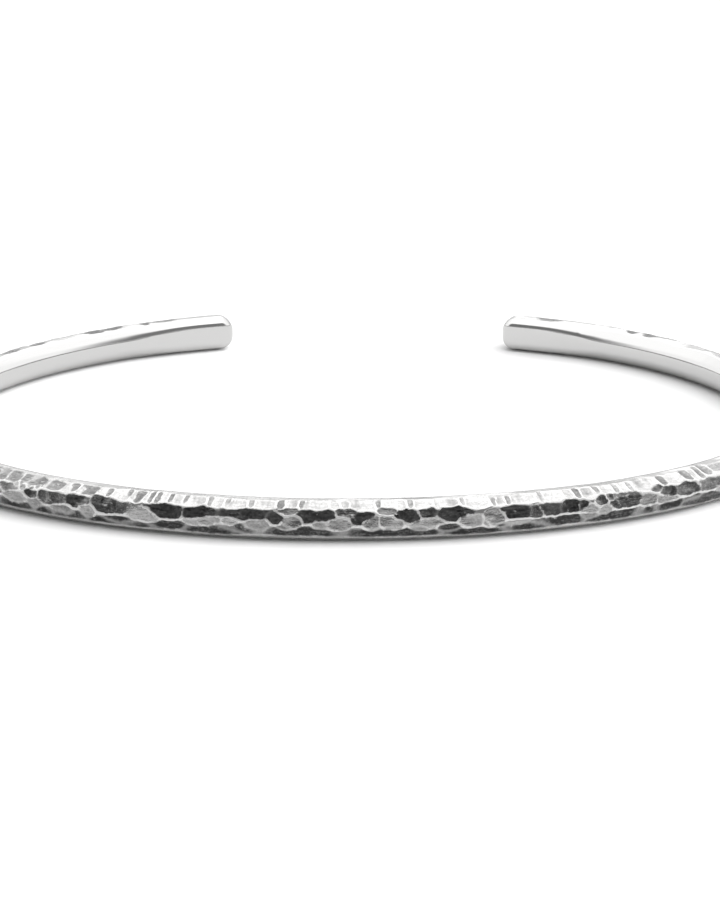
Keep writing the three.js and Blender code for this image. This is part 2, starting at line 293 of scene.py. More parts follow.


# The charted blows on top of the front: along, faces, long, deep, darkening and lean.
# Their darkening is partly oxidised silver and partly a painted dark reflection.
TOP_BLOWS = (
    (-26.2, 70, 1.92, 0.16, 0.68, 0.08),
    (-25, 73, 1.92, 0.16, 0.68, -0.09),
    (-23.8, 71, 1.76, 0.17, 0.68, 0.04),
    (-22.9, 69, 1.28, 0.17, 0.68, -0.06),
    (-22.3, 70, 0.48, 0.12, 0.12, 0.11),
    (-21.5, 72, 1.6, 0.17, 0.68, -0.04),
    (-20.5, 70, 1.6, 0.17, 0.68, 0.08),
    (-19.85, 69, 0.4, 0.1, 0.12, -0.09),
    (-19.1, 71, 1.44, 0.17, 0.68, 0.04),
    (-18.3, 65, 0.8, 0.12, 0.12, -0.06),
    (-17.65, 74, 0.8, 0.15, 0.68, 0.11),
    (-17.15, 68, 0.48, 0.12, 0.12, -0.04),
    (-16.45, 70, 1.44, 0.17, 0.68, 0.05),
    (-15.6, 69, 0.8, 0.12, 0.12, -0.06),
    (-15.1, 71, 0.56, 0.15, 0.68, 0.03),
    (-14.2, 65, 1.12, 0.11, 0.12, -0.04),
    (-13.65, 74, 0.48, 0.15, 0.68, 0.07),
    (-13.3, 68, 0.4, 0.1, 0.12, -0.03),
    (-12.85, 70, 0.75, 0.17, 0.72, 0.05),
    (-12.35, 69, 0.5, 0.1, 0.12, -0.06),
    (-12, 71, 0.44, 0.15, 0.72, 0.03),
    (-11.6, 70, 0.5, 0.15, 0.72, -0.04),
    (-11.15, 71, 0.6, 0.12, 0.12, 0.07),
    (-10.7, 73, 0.4, 0.15, 0.72, -0.03),
    (-10.2, 67, 0.8, 0.12, 0.12, 0.05),
    (-9.7, 74, 0.4, 0.15, 0.72, -0.06),
    (-8.9, 68, 1.4, 0.11, 0.12, 0.03),
    (-8, 70, 0.4, 0.15, 0.49, -0.04),
    (-7.4, 71, 0.9, 0.12, 0.2, 0.07),
    (-6.85, 73, 0.4, 0.15, 0.43, -0.03),
    (-6.1, 67, 1.2, 0.11, 0.2, 0.05),
    (-5.3, 74, 0.4, 0.15, 0.43, -0.06),
    (-4.4, 68, 1.2, 0.11, 0.2, 0.03),
    (-3.35, 70, 0.5, 0.15, 0.72, -0.04),
    (-2.6, 71, 0.9, 0.12, 0.2, 0.07),
    (-2, 73, 0.4, 0.15, 0.68, -0.03),
    (-1, 67, 1.6, 0.11, 0.2, 0.05),
    (0.1, 70, 0.6, 0.12, 0.25, -0.06),
    (0.8, 72, 0.5, 0.13, 0.28, 0.03),
    (1.9, 66, 1.5, 0.11, 0.2, -0.04),
    (2.95, 75, 0.4, 0.15, 0.61, 0.07),
    (3.6, 69, 1, 0.12, 0.15, -0.03),
    (4.4, 67, 0.6, 0.12, 0.25, 0.05),
    (5, 74, 0.4, 0.15, 0.55, -0.06),
    (5.8, 68, 1.1, 0.12, 0.2, 0.03),
    (6.7, 70, 0.35, 0.13, 0.28, -0.04),
    (7.6, 71, 1.3, 0.11, 0.2, 0.07),
    (8.4, 73, 0.35, 0.13, 0.28, -0.03),
    (9.3, 67, 1.3, 0.11, 0.2, 0.05),
    (10.4, 73, 0.4, 0.15, 0.49, -0.06),
    (10.9, 67, 0.6, 0.12, 0.15, 0.03),
    (11.35, 69, 0.4, 0.15, 0.61, -0.04),
    (12.4, 70, 1.5, 0.11, 0.2, 0.07),
    (13.6, 72, 0.4, 0.15, 0.43, -0.03),
    (14.5, 66, 1.3, 0.11, 0.15, 0.05),
    (15.4, 69, 0.6, 0.12, 0.2, -0.06),
    (16.1, 71, 0.5, 0.15, 0.68, 0.03),
    (16.8, 65, 0.9, 0.12, 0.1, -0.04),
    (17.5, 74, 0.4, 0.15, 0.61, 0.11),
    (18.2, 68, 0.8, 0.12, 0.15, -0.04),
    (18.9, 70, 0.4, 0.15, 0.49, 0.08),
    (19.4, 69, 0.6, 0.12, 0.1, -0.09),
    (19.9, 71, 0.4, 0.15, 0.43, 0.04),
    (20.8, 65, 1.3, 0.11, 0.1, -0.06),
    (21.7, 70, 0.8, 0.12, 0.15, 0.11),
    (22.5, 72, 0.7, 0.17, 0.72, -0.04),
    (23.5, 66, 1.1, 0.12, 0.1, 0.08),
    (24.5, 73, 0.7, 0.17, 0.61, -0.09),
    (25.05, 67, 0.4, 0.1, 0.15, 0.04),
    (25.6, 69, 0.5, 0.15, 0.61, -0.06),
    (26.3, 74, 0.7, 0.17, 0.55, 0.11),
)
# The charted blows below them: along, turn, faces, long, wide, deep, darkening and skew.
# Their darkening is partly oxidised silver and partly a painted dark reflection.
UPPER_BLOWS = (
    (-26, 22, 24, 2.2, 1.3, 0.14, 0.7),
    (-24, 20, 20, 1.6, 1, 0.13, 0.7, 20),
    (-22.6, 34, 36, 1.4, 0.9, 0.12, 0.7, -20),
    (-20.7, 21, 24, 0.9, 0.8, 0.14, 0.85, 25),
    (-19.7, 22, 18, 0.9, 1, 0.13, 0.7),
    (-18.8, 16, 21, 1.9, 1.3, 0.17, 0.75, -15),
    (-17.2, 20, 27, 1.5, 1.4, 0.18, 0.84, -35),
    (-15.4, 37, 37, 1.1, 0.9, 0.15, 0.85, 35),
    (-14.7, 16, 24, 2.1, 1.3, 0.19, 0.78, 15),
    (-10.8, 22, 28, 2.3, 1.4, 0.19, 0.84, -15),
    (-8.6, 26, 30, 1.9, 1.2, 0.18, 0.85, -10),
    (-5.4, 32, 33, 3, 0.8, 0.15, 0.81),
    (-3.7, 22, 27, 1.1, 1.1, 0.17, 0.78, 15),
    (-2.9, 43, 41, 1.3, 0.6, 0.14, 0.8),
    (-1.05, 34, 35, 2.2, 1.3, 0.18, 0.85),
    (1.75, 24, 30, 1.4, 1.6, 0.19, 0.84, -22),
    (0.9, 42, 41, 1.6, 0.7, 0.15, 0.8, -10),
    (3.5, 47, 45, 1.2, 0.6, 0.14, 0.81, -10),
    (4.75, 33, 35, 1.5, 1.4, 0.18, 0.85, 10),
    (6.1, 39, 38, 1.4, 0.8, 0.15, 0.84),
    (7.7, 36, 35, 1.8, 1.1, 0.17, 0.85, -10),
    (11.7, 19, 25, 1.9, 1.5, 0.18, 0.84, 10),
    (13, 13, 14, 0.9, 1.2, 0.14, 0.8),
    (14.1, 23, 22, 1.7, 1.2, 0.15, 0.72, 12),
    (15.3, 25, 27, 1.4, 1.2, 0.17, 0.87, -10),
    (16.2, 19, 22, 0.7, 0.8, 0.14, 0.84),
    (17.7, 30, 30, 0.7, 0.7, 0.13, 0.81, -30),
    (18.2, 38, 38, 0.5, 0.6, 0.12, 0.81),
    (19.15, 33, 36, 1.7, 0.6, 0.12, 0.55),
    (19.2, 10, 18, 2.2, 1.2, 0.18, 0.85, 12),
    (20.9, 9, 8, 1.4, 1, 0.13, 0.6, -10),
    (21.7, 39, 38, 1.1, 0.5, 0.12, 0.81, -15),
    (22.6, 26, 27, 1.3, 1.1, 0.16, 0.85),
    (24, 20, 22, 1.7, 1.1, 0.16, 0.84, 35),
    (26.1, 16, 17, 2, 1.3, 0.15, 0.72),
    (-22.1, 40, 42, 0.6, 0.5, 0.13, 0.5),
    (-21.8, 50, 50, 0.5, 0.5, 0.13, 0.65),
    (-21.5, 36, 38, 0.5, 0.5, 0.13, 0.55),
    (-21.2, 46, 46, 0.6, 0.5, 0.13, 0.5),
    (-20.8, 38, 40, 0.5, 0.5, 0.13, 0.65),
    (-20.5, 48, 46, 0.5, 0.5, 0.13, 0.55),
)
MIDDLE_BLOWS = (
    (-24.6, 0, 0, 1.9, 0.9, 0.13, 0.5, 15),
    (-22, 1, 2, 1.7, 0.9, 0.13, 0.5, 20),
    (-20.3, -6, -4, 1.4, 0.9, 0.13, 0.65, -25),
    (-18.2, -14, -8, 1.7, 0.8, 0.13, 0.65, -20),
    (-16.4, -8, -2, 1, 0.9, 0.13, 0.5),
    (-12.4, 10, 4, 2, 1.3, 0.16, 0.45, 12),
    (-8.4, -3, 0, 2, 1.1, 0.14, 0.5, -12),
    (-6.6, 5, 4, 1, 0.6, 0.11, 0.45, 20),
    (-4.8, 1, -1, 1.7, 1, 0.14, 0.58),
    (-2.5, 16, 6, 0.9, 1, 0.14, 0.63, -25),
    (-3, 0, -8, 0.9, 0.6, 0.12, 0.85),
    (-0.6, 3, 2, 1.3, 0.7, 0.12, 0.53),
    (0.45, 10, 4, 1.6, 1.4, 0.16, 0.58, -18),
    (2.5, 18, 7, 0.9, 1, 0.14, 0.58),
    (2.6, 0, -9, 0.9, 0.6, 0.12, 0.8),
    (3.6, 16, 7, 1.3, 0.9, 0.13, 0.53, 15),
    (3.8, -1, -9, 1, 0.6, 0.12, 0.85),
    (5.9, 7, 4, 2.2, 0.8, 0.13, 0.58, 12),
    (5.7, -7, -6, 1.7, 0.6, 0.12, 0.7, 10),
    (8.8, 8, 4, 1.4, 1.4, 0.16, 0.5, 12),
    (9.9, 2, -4, 0.9, 0.8, 0.12, 0.55),
    (10.3, 25, 10, 0.9, 0.9, 0.12, 0.45),
    (11.8, -10, -3, 1.8, 0.5, 0.11, 0.45),
    (16.7, 6, 4, 1.1, 0.8, 0.13, 0.5, 20),
    (16.6, -11, -8, 1.3, 0.6, 0.12, 0.7),
    (17.8, 2, 2, 1, 1, 0.13, 0.5, -20),
    (22.3, 3, 4, 1.5, 0.8, 0.13, 0.5, 10),
)
LOWER_BLOWS = (
    (-25.2, -16, -14, 4.1, 0.8, 0.09, 0.97),
    (-22, -18, -16, 4.1, 0.7, 0.09, 0.97, 15),
    (-19.6, -19, -18, 1.7, 0.6, 0.09, 0.97),
    (-17.9, -17, -16, 3.4, 1.2, 0.1, 0.97),
    (-15.2, -24, -22, 2.4, 0.5, 0.08, 0.97),
    (-14, -19, -18, 2.7, 0.7, 0.08, 0.97),
    (-12.6, -24, -22, 2.4, 0.5, 0.08, 0.97),
    (-11, -18, -18, 4.8, 0.8, 0.09, 0.97),
    (-7.8, -26, -22, 3.2, 0.7, 0.09, 0.97),
    (-6.1, -15, -15, 4.1, 1.1, 0.1, 0.97),
    (-1.7, -19, -18, 6.8, 0.8, 0.09, 0.97),
    (3.6, -23, -20, 6.1, 0.7, 0.09, 0.97),
    (7.5, -15, -14, 2, 0.8, 0.09, 0.97),
    (9, -27, -24, 3.4, 0.6, 0.09, 0.97),
    (10.6, -13, -14, 1.9, 0.8, 0.09, 0.97),
    (12.4, -22, -20, 3.2, 0.8, 0.09, 0.97),
    (14.6, -14, -14, 4.9, 1.1, 0.11, 0.97),
    (18.6, -20, -19, 4.8, 0.8, 0.1, 0.97),
    (20.7, -18, -18, 2.4, 0.8, 0.09, 0.97),
    (22.4, -18, -18, 2.4, 0.8, 0.09, 0.97),
    (24.8, -12, -13, 1.8, 1, 0.12, 0.95, 15),
)
# The blows that show over the top of the two arms, at the back.
BACK_BLOWS = (
    (-60, 78, 80, 2.3, 0.95, 0.15, 0.7),
    (-63, 76, 78, 1.49, 0.95, 0.2, 0.7),
    (-68.7, 80, 88, 1.72, 0.85, 0.18, 0.85),
    (-70.3, 80, 88, 1.72, 0.75, 0.15, 0.85),
    (-73.3, 80, 86, 0.69, 0.75, 0.14, 0.8),
    (-75, 80, 84, 2.3, 0.65, 0.09, 0.7),
    (76.8, 80, 86, 1.72, 0.75, 0.12, 0.7),
    (69.1, 80, 88, 0.92, 0.75, 0.15, 0.85),
    (67.4, 80, 88, 1.15, 0.75, 0.15, 0.85),
    (69, 128, 126, 4.5, 0.7, 0.04, 0),
    (65, 128, 125, 5, 0.7, 0.05, 0),
    (60.5, 127, 125, 5.5, 0.7, 0.05, 0),
    (55.5, 127, 126, 5.5, 0.7, 0.04, 0),
)
CHARTED_BLOWS = [TopRow().blow(*row) for row in TOP_BLOWS]
CHARTED_BLOWS += [Blow(*row) for row in UPPER_BLOWS + MIDDLE_BLOWS + LOWER_BLOWS + BACK_BLOWS]


class Row(Enum):
    """The rows of blows round the bar: turn, step, length, width, depth, darkening and stagger."""

    # A row's darkening is partly oxidised silver and partly a painted dark reflection.
    TOP = (70.0, 1.5, 1.8, 1.4, 0.1, 0.5, 0.0)
    UPPER = (22.0, 1.7, 2.0, 1.1, 0.15, 0.75, 0.9)
    MIDDLE = (0.0, 2.4, 1.6, 0.8, 0.13, 0.5, 0.2)
    LOWER = (-20.0, 2.3, 2.4, 0.8, 0.09, 0.9, 1.3)
    CROWN = (92.0, 2.2, 2.4, 1.2, 0.05, 0.1, 0.6)


@dataclass(frozen=True)
class Hand:
    """How unevenly the hand strikes, either way from each row's own value.

    The blows grow lighter towards the ends, and a charted stretch of the front is left alone.
    """

    along: float = 0.4
    turn: float = 5.0
    size: float = 0.25
    deep: float = 0.15
    skew: float = 20.0
    lean: float = 0.07
    faces: float = 5.0
    oxide: float = 0.15
    lighter_from: float = 62.0
    lighter_to: float = 77.0
    lightest: float = 0.25
    charted_to: float = 26.8
    first_seed: int = 400
    seeds_a_row: int = 200

    UNEVEN = ("along", "turn", "size", "deep", "skew", "lean", "faces", "oxide")
    # Any odd numbers that spread the results well.
    WILD = (12.9898, 78.233, 43.7585, 0.61803398875)

    def scatter(self, count: int, salt: int) -> float:
        """A number from -1 to 1 that looks random and is the same each time.

        Args:
            count: which blow.
            salt: which of the blow's values.

        Returns:
            The number.
        """
        by_count, by_salt, height, step = self.WILD
        wild = abs(math.sin((count + 1) * by_count + (salt + 1) * by_salt) * height)
        return 2 * ((wild + count * step) % 1) - 1

    def lightness(self, along: float) -> float:
        """How much lighter the blows have grown at a place, from 0 to 1.

        Args:
            along: the place along the bar.

        Returns:
            The share, rising smoothly.
        """
        part = (abs(along) - self.lighter_from) / (self.lighter_to - self.lighter_from)
        part = min(max(part, 0.0), 1.0)
        return part * part * (3 - 2 * part)

    def strike(self, reach: float) -> list[Blow]:
        """Every blow on the bar: the charted ones, and rows of blows on round to the ends.

        Args:
            reach: length along the bar from its middle to each end.

        Returns:
            The blows, each with its own small unevenness.
        """
        blows = list(CHARTED_BLOWS)
        for rank, row in enumerate(Row):
            turn, pitch, long, wide, deep, oxide, stagger = row.value
            half = math.floor(reach / pitch)
            for count in range(-half, half + 1):
                seed = count + self.seeds_a_row * rank + self.first_seed
                off = {
                    name: getattr(self, name) * self.scatter(seed, salt)
                    for salt, name in enumerate(self.UNEVEN, start=1)
                }
                along = count * pitch + stagger + off["along"]
                if abs(along) < self.charted_to and row is not Row.CROWN:
                    continue
                light = self.lightness(along)
                blow = Blow(
                    along=along,
                    turn=turn + off["turn"],
                    faces=turn + off["turn"] + off["faces"],
                    long=long * (1 + off["size"]),
                    wide=wide * (1 + off["size"]),
                    deep=deep * (1 + off["deep"]) * (1 - (1 - self.lightest) * light),
                    oxide=oxide + off["oxide"],
                    skew=off["skew"],
                    lean=off["lean"] * (1 - light),
                )
                blows.append(blow)
        return blows


# ------------------------------------------------------------ finish


@dataclass(frozen=True)
class PolishedSilver:
    """Sterling silver: polished where smooth, darker in the dents and underneath, lighter on rims.

    The dark in the dents is partly oxidised silver and partly a painted reflection of the dark
    side in front; the dark underneath is painted shade; the lighter rims are partly polish and
    partly a painted highlight. The bar carries four values for it: the share of oxidised silver
    and painted shade that the blows and the underside left; bend, how sharply the surface bends;
    halo, how near a blow's edge lies; and unbent, the place on the bar were it straight. Streaks
    are noise drawn out along the bar, and grain is fine noise.
    """

    name: str = "polished_silver"
    color: Color = (0.68, 0.677, 0.673, 1.0)
    # The darkest colour: oxidised silver, with painted shade and painted dark reflection.
    oxide_color: Color = (0.045, 0.045, 0.045, 1.0)
    # The rims' colour, lighter than the silver: partly polish, partly a painted highlight.
    rim_color: Color = (0.8, 0.797, 0.793, 1.0)
    roughness: float = 0.12
    dent_roughness: float = 0.17
    rim_roughness: float = 0.5
    pitting: float = 0.012
    # Darkening, partly oxidised silver and partly painted dark reflection: how much makes a dent,
    # and how it is blotched, and worn off near a blow's edge.
    dent_oxide: float = 0.12
    uneven: float = 0.55
    streak: float = 0.6
    grain: float = 0.5
    worn: float = 0.5
    worn_streak: float = 0.8
    # Rims, lighter as polish and as a painted highlight: the bend that they start and are full at,
    # how unevenly, and the painted highlight's loss low down.
    rim_from: float = 0.4
    rim_to: float = 1.9
    wear: float = 0.85
    patch: float = 0.8
    low_from: float = 32.0
    low_to: float = 40.0
    low_loss: float = 0.8
    # The thin veil across the top, between these turns.
    veil: float = 0.8
    veil_more: float = 0.05
    veil_from: float = 38.0
    veil_full: float = 50.0
    veil_until: float = 88.0
    veil_end: float = 100.0
    # Noise: how many waves of each kind lie in a millimetre along, out and up, and their shape.
    streak_size: tuple[float, float, float] = (0.8, 4.5, 4.5)
    veil_size: tuple[float, float, float] = (1.1, 0.25, 0.25)
    grain_size: float = 6.0
    patch_size: float = 0.6
    noise_height: float = 2.4
    noise_detail: float = 3.0
    noise_roughness: float = 0.65

    def build(self) -> bpy.types.Material:
        """Makes the material.

        Returns:
            The material.
        """
        material = bpy.data.materials.new(self.name)
        wiring = wired(material)
        bend, oxide, halo = (
            wiring.take("ShaderNodeAttribute", {}, "Fac", attribute_name=name)
            for name in ("bend", "oxide", "halo")
        )
        place = wiring.take("ShaderNodeAttribute", {}, "Vector", attribute_name="unbent")
        _, out, up = wiring.split(place)
        turn = wiring.math("DEGREES", wiring.math("ARCTAN2", up, out))
        dented = wiring.smooth(oxide, 0.0, self.dent_oxide)
        streak = self.noise(wiring, wiring.vector("MULTIPLY", place, self.streak_size), 1.0)
        grain = self.noise(wiring, place, self.grain_size)

        # Darkening: oxidised silver with painted shade and painted dark reflection, worn near edges.
        worn = wiring.math("MAXIMUM", halo + streak * self.worn_streak, 0.0) * halo
        blotches = (streak * self.streak + grain * self.grain) * dented * self.uneven
        oxide = oxide * (1.0 - worn * self.worn) + blotches
        oxide = oxide + self.veiled(wiring, place, turn) * (1.0 - oxide)
        oxide = wiring.math("MINIMUM", wiring.math("MAXIMUM", oxide, 0.0), 1.0)

        # Rims: lighter where the surface bends sharply, partly polish and partly a painted highlight.
        wear = (streak + grain) * self.wear + self.noise(wiring, place, self.patch_size) * self.patch
        rim = wiring.smooth(bend + wear, self.rim_from, self.rim_to) * dented
        rim = rim * (1.0 - wiring.smooth(-turn, self.low_from, self.low_to) * self.low_loss)

        color = wiring.blend(rim, wiring.blend(oxide, self.color, self.oxide_color), self.rim_color)
        rough = wiring.between(dented, self.roughness, self.dent_roughness)
        rough = wiring.between(rim, rough, self.rim_roughness)
        height = (grain + streak) * dented
        pits = wiring.take("ShaderNodeBump", {"Height": height, "Distance": self.pitting * MM})
        shader = wiring.take(
            "ShaderNodeBsdfPrincipled",
            {"Base Color": color, "Metallic": 1.0, "Roughness": rough, "Normal": pits},
        )
        wiring.put("ShaderNodeOutputMaterial", {"Surface": shader})
        return material

    def noise(self, wiring: Wiring, place: Number, size: float) -> Number:
        """Noise about 0, mostly between -0.6 and 0.6.

        Args:
            wiring: the tree being built.
            place: where it is read.
            size: how many of its waves lie in a unit of that.

        Returns:
            The noise.
        """
        inputs = {
            "Vector": place,
            "Scale": size,
            "Detail": self.noise_detail,
            "Roughness": self.noise_roughness,
        }
        return (wiring.take("ShaderNodeTexNoise", inputs) - 0.5) * self.noise_height

    def veiled(self, wiring: Wiring, place: Number, turn: Number) -> Number:
        """A thin veil of oxidised silver, in soft streaks across the top of the bar.

        Args:
            wiring: the tree being built.
            place: the place on the straight bar.
            turn: the turn round the bar.

        Returns:
            The share of oxidised silver in the veil.
        """
        streaks = self.noise(wiring, wiring.vector("MULTIPLY", place, self.veil_size), 1.0)
        streaks = wiring.math("MAXIMUM", streaks + self.veil_more, 0.0)
        outer = wiring.smooth(turn, self.veil_from, self.veil_full)
        inner = wiring.smooth(turn, self.veil_end, self.veil_until)
        return streaks * (outer * inner) * self.veil


# ------------------------------------------------------------ the cuff


class BarTree:
    """The Geometry Nodes tree that makes the bar from a chart of blows.

    The bar is first a flat grid whose points hold their along, turn and radius. The blows cut
    into the radius, and only then is the grid bent round the centre line.
    """

    # Just under 1, so that rounding can't keep the last ring open, and how near points join.
    NEARLY_ONE = 0.9999
    JOIN = 0.001 * MM
    # The least cosine that a flat side is worked out with, and the least area of a face.
    FLAT_FROM = 0.1
    LEAST_AREA = 1e-12
    # The faces' unevenness: the radius that it is read at, and its step from blow to blow.
    STRAIGHT_RADIUS = 1.5
    NOISE_STEP = 3.7

    def __init__(self, inputs: dict[str, tuple[str, object]]) -> None:
        """Starts the tree, with its named inputs.

        Args:
            inputs: the type and the value of each named input.
        """
        self.tree = bpy.data.node_groups.new("hammered_bar", "GeometryNodeTree")
        sockets = self.tree.interface
        sockets.new_socket("Chart", in_out="INPUT", socket_type="NodeSocketGeometry")
        for name, (kind, _) in inputs.items():
            sockets.new_socket(name, in_out="INPUT", socket_type=kind)
        sockets.new_socket("Bar", in_out="OUTPUT", socket_type="NodeSocketGeometry")
        self.wiring = Wiring(self.tree)
        given = self.wiring.put("NodeGroupInput", {}).outputs
        self.chart = Number(self.wiring, given["Chart"])
        self.size = {name: Number(self.wiring, given[name]) for name in inputs}

    def build(self) -> bpy.types.GeometryNodeTree:
        """Joins the steps, from the flat grid to the dressed bar.

        Returns:
            The tree.
        """
        wiring = self.wiring
        bar = self.struck(self.grid())
        bar = self.rimmed(self.bent(self.centre_line(), bar))
        real = wiring.take("GeometryNodeRealizeInstances", {"Geometry": bar})
        inputs = {"Geometry": real, "Material": self.size["Finish"]}
        wiring.put("NodeGroupOutput", {"Bar": wiring.take("GeometryNodeSetMaterial", inputs)})
        return self.tree

    def centre_line(self) -> Number:
        """The oval centre line, from the -X end round the front to the +X end.

        Returns:
            The curve.
        """
        wiring, size = self.wiring, self.size
        line = wiring.take("GeometryNodeCurvePrimitiveLine", {})
        inputs = {"Curve": line, "Count": size["Oval Steps"]}
        points = wiring.take("GeometryNodeResampleCurve", inputs)
        factor = wiring.take("GeometryNodeSplineParameter", {}, "Factor")
        last = math.pi - wiring.math("RADIANS", size["Mouth Turn"])
        angle = (factor * 2.0 - 1.0) * last
        ahead, across = wiring.math("COSINE", angle), wiring.math("SINE", angle)
        front = wiring.math("GREATER_THAN", ahead, 0.0)
        depth = wiring.choose(front, size["Back Depth"], size["Front Depth"])
        power = wiring.choose(front, 2.0 / size["Back Fullness"], 1.0)
        ahead, across = (
            abs(part) ** power * wiring.math("SIGN", part) for part in (ahead, across)
        )
        inputs = {
            "X": size["Half Span"] * across,
            "Y": -(depth * ahead) - size["Middle"],
            "Z": size["Bar Foot"],
        }
        place = wiring.take("ShaderNodeCombineXYZ", inputs)
        return wiring.take("GeometryNodeSetPosition", {"Geometry": points, "Position": place})

    def bar_radius(self, turn: Number, along: Number) -> Number:
        """Radius of the bar before hammering: domed, with a flat inner side and a flat foot.

        Args:
            turn: the turn round the bar, in radians.
            along: the place along the bar.

        Returns:
            The radius.
        """
        wiring, size = self.wiring, self.size
        out, up = wiring.math("COSINE", turn), wiring.math("SINE", turn)
        near_end = wiring.smooth(size["Reach"] - abs(along), size["End Dome From"], size["End Dome To"])
        inner_dome = wiring.between(near_end, size["Bar Dome"], size["End Dome"])
        outer = wiring.math("MAXIMUM", out, 0.0) / size["Bar Out"]
        inner = wiring.math("MINIMUM", out, 0.0) / inner_dome
        high = abs(up / size["Bar Up"])
        power = size["Fullness"]
        dome = ((outer - inner) ** power + high ** power) ** (-1.0 / power)
        inward = wiring.math("MAXIMUM", -out, self.FLAT_FROM)
        radius = wiring.math("SMOOTH_MIN", dome, size["Bar In"] / inward, size["Edge"])
        down = wiring.math("MAXIMUM", -up, self.FLAT_FROM)
        return wiring.math("MINIMUM", radius, size["Bar Foot"] / down)

    def underside(self, turn: Number) -> Number:
        """How dark the bar is before any blow: painted shade, only underneath, where it faces
        the shaded table.

        Args:
            turn: the turn round the bar, in radians.

        Returns:
            The share of painted shade.
        """
        wiring, size = self.wiring, self.size
        down = -wiring.math("SINE", turn)
        outside = wiring.math("GREATER_THAN", wiring.math("COSINE", turn), 0.0)
        turns = (
            wiring.choose(outside, size["Dull From Inside"], size["Dull From"]),
            wiring.choose(outside, size["Dull To Inside"], size["Dull To"]),
            size["Dull Until"],
            size["Dull End"],
        )
        start, full, until, end = (
            wiring.math("SINE", wiring.math("RADIANS", value)) for value in turns
        )
        most = wiring.choose(outside, size["Dull Inside"], size["Dull"])
        foot = wiring.smooth(down, until, end) * outside
        return wiring.smooth(down, start, full) * most * (1.0 - foot * size["Dull Loss"])

    def grid(self) -> Number:
        """The bar's surface as a flat grid, closer in rings at the front and in sides outside.

        Returns:
            The grid, with along, turn, radius, darkening and halo on its points; the darkening is
            painted shade underneath.
        """
        wiring, size = self.wiring, self.size
        inputs = {
            "Size X": 2.0,
            "Size Y": 2.0,
            "Vertices X": size["Rings"],
            "Vertices Y": size["Sides"] + 1.0,
        }
        mesh = wiring.take("GeometryNodeMeshGrid", inputs)
        lengthwise, round_bar, _ = wiring.split(wiring.take("GeometryNodeInputPosition", {}))
        even = abs(lengthwise)
        distance = even + (even ** 3.0 - even) * size["Front Crowding"]
        straight_share = 1.0 - size["End Share"] * 2.0
        straight = wiring.math("MINIMUM", distance, straight_share) / straight_share
        past = wiring.math("MAXIMUM", distance - straight_share, 0.0) / (1.0 - straight_share)
        closing = wiring.math("SINE", past * (math.pi / 2))
        length = straight * (size["Reach"] - size["End Length"]) + closing * size["End Length"]
        along = length * wiring.math("SIGN", lengthwise)
        even_turn = round_bar * math.pi
        from_crowd = even_turn - wiring.math("RADIANS", size["Crowd Turn"])
        turn = even_turn - wiring.math("SINE", from_crowd) * size["Crowding"]
        values = {
            "along": along,
            "turn": turn,
            "radius": self.bar_radius(turn, along),
            # Painted shade underneath, before any blow.
            "oxide": self.underside(turn),
            "halo": 0.0,
        }
        for name, value in values.items():
            mesh = wiring.store(mesh, name, value)
        return mesh

    def straightened(self) -> Number:
        """Where a point of the grid lies on a plain round bar, were the bar straight.

        Returns:
            The place, in millimetres.
        """
        wiring = self.wiring
        along, turn = wiring.stored("along"), wiring.stored("turn")
        out = wiring.math("COSINE", turn) * self.STRAIGHT_RADIUS
        up = wiring.math("SINE", turn) * self.STRAIGHT_RADIUS
        return wiring.take("ShaderNodeCombineXYZ", {"X": along, "Y": out, "Z": up})

    def column(self, name: str, count: Number) -> Number:
        """One blow's value in a named column of the chart."""
        inputs = {"Geometry": self.chart, "Value": self.wiring.stored(name), "Index": count}
        return self.wiring.take("GeometryNodeSampleIndex", inputs, data_type="FLOAT")

    def hollow(self, deep: Number, across: Number) -> Number:
        """How fast the face of a blow of that depth rises to its edge, that far across."""
        half = across * (self.size["Spread"] * 0.5)
        return deep / (half * half)

    def face(
        self, blow: dict[str, Number], count: Number, ahead: Number, round_by: Number
    ) -> Number:
        """The radius of a blow's face, a shallow bowl that is hardly ever level.

        Args:
            blow: the blow's columns.
            count: which blow it is.
            ahead: how far along the bar a place is from the blow.
            round_by: how far round the bar it is from where the face looks, in radians.

        Returns:
            The radius at that place.
        """
        wiring, size = self.wiring, self.size
        centre = wiring.math("RADIANS", blow["turn"])
        tilt = centre - wiring.math("RADIANS", blow["faces"])
        level = self.bar_radius(centre, blow["along"]) - blow["deep"]
        level = level * wiring.math("COSINE", tilt)
        across = level * (wiring.math("TANGENT", round_by) - wiring.math("TANGENT", tilt))
        skew = wiring.math("RADIANS", blow["skew"])
        cosine, sine = wiring.math("COSINE", skew), wiring.math("SINE", skew)
        forward = ahead * cosine + across * sine
        sideways = across * cosine - ahead * sine
        round_already = 0.5 / level
        bowl = self.hollow(blow["deep"], blow["wide"]) - round_already
        bowl = wiring.math("MAXIMUM", bowl, size["Face Bowl"])
        face = level + blow["lean"] * forward
        face = face + self.hollow(blow["deep"], blow["long"]) * (forward * forward)
        face = face + bowl * (sideways * sideways)
        inputs = {
            "Vector": self.straightened(),
            "W": count * self.NOISE_STEP,
            "Scale": size["Uneven Scale"],
            "Detail": 1.0,
        }
        noise = wiring.take("ShaderNodeTexNoise", inputs, noise_dimensions="4D")
        face = face + (noise - 0.5) * size["Uneven"] * blow["deep"]
        return face / wiring.math("COSINE", round_by)

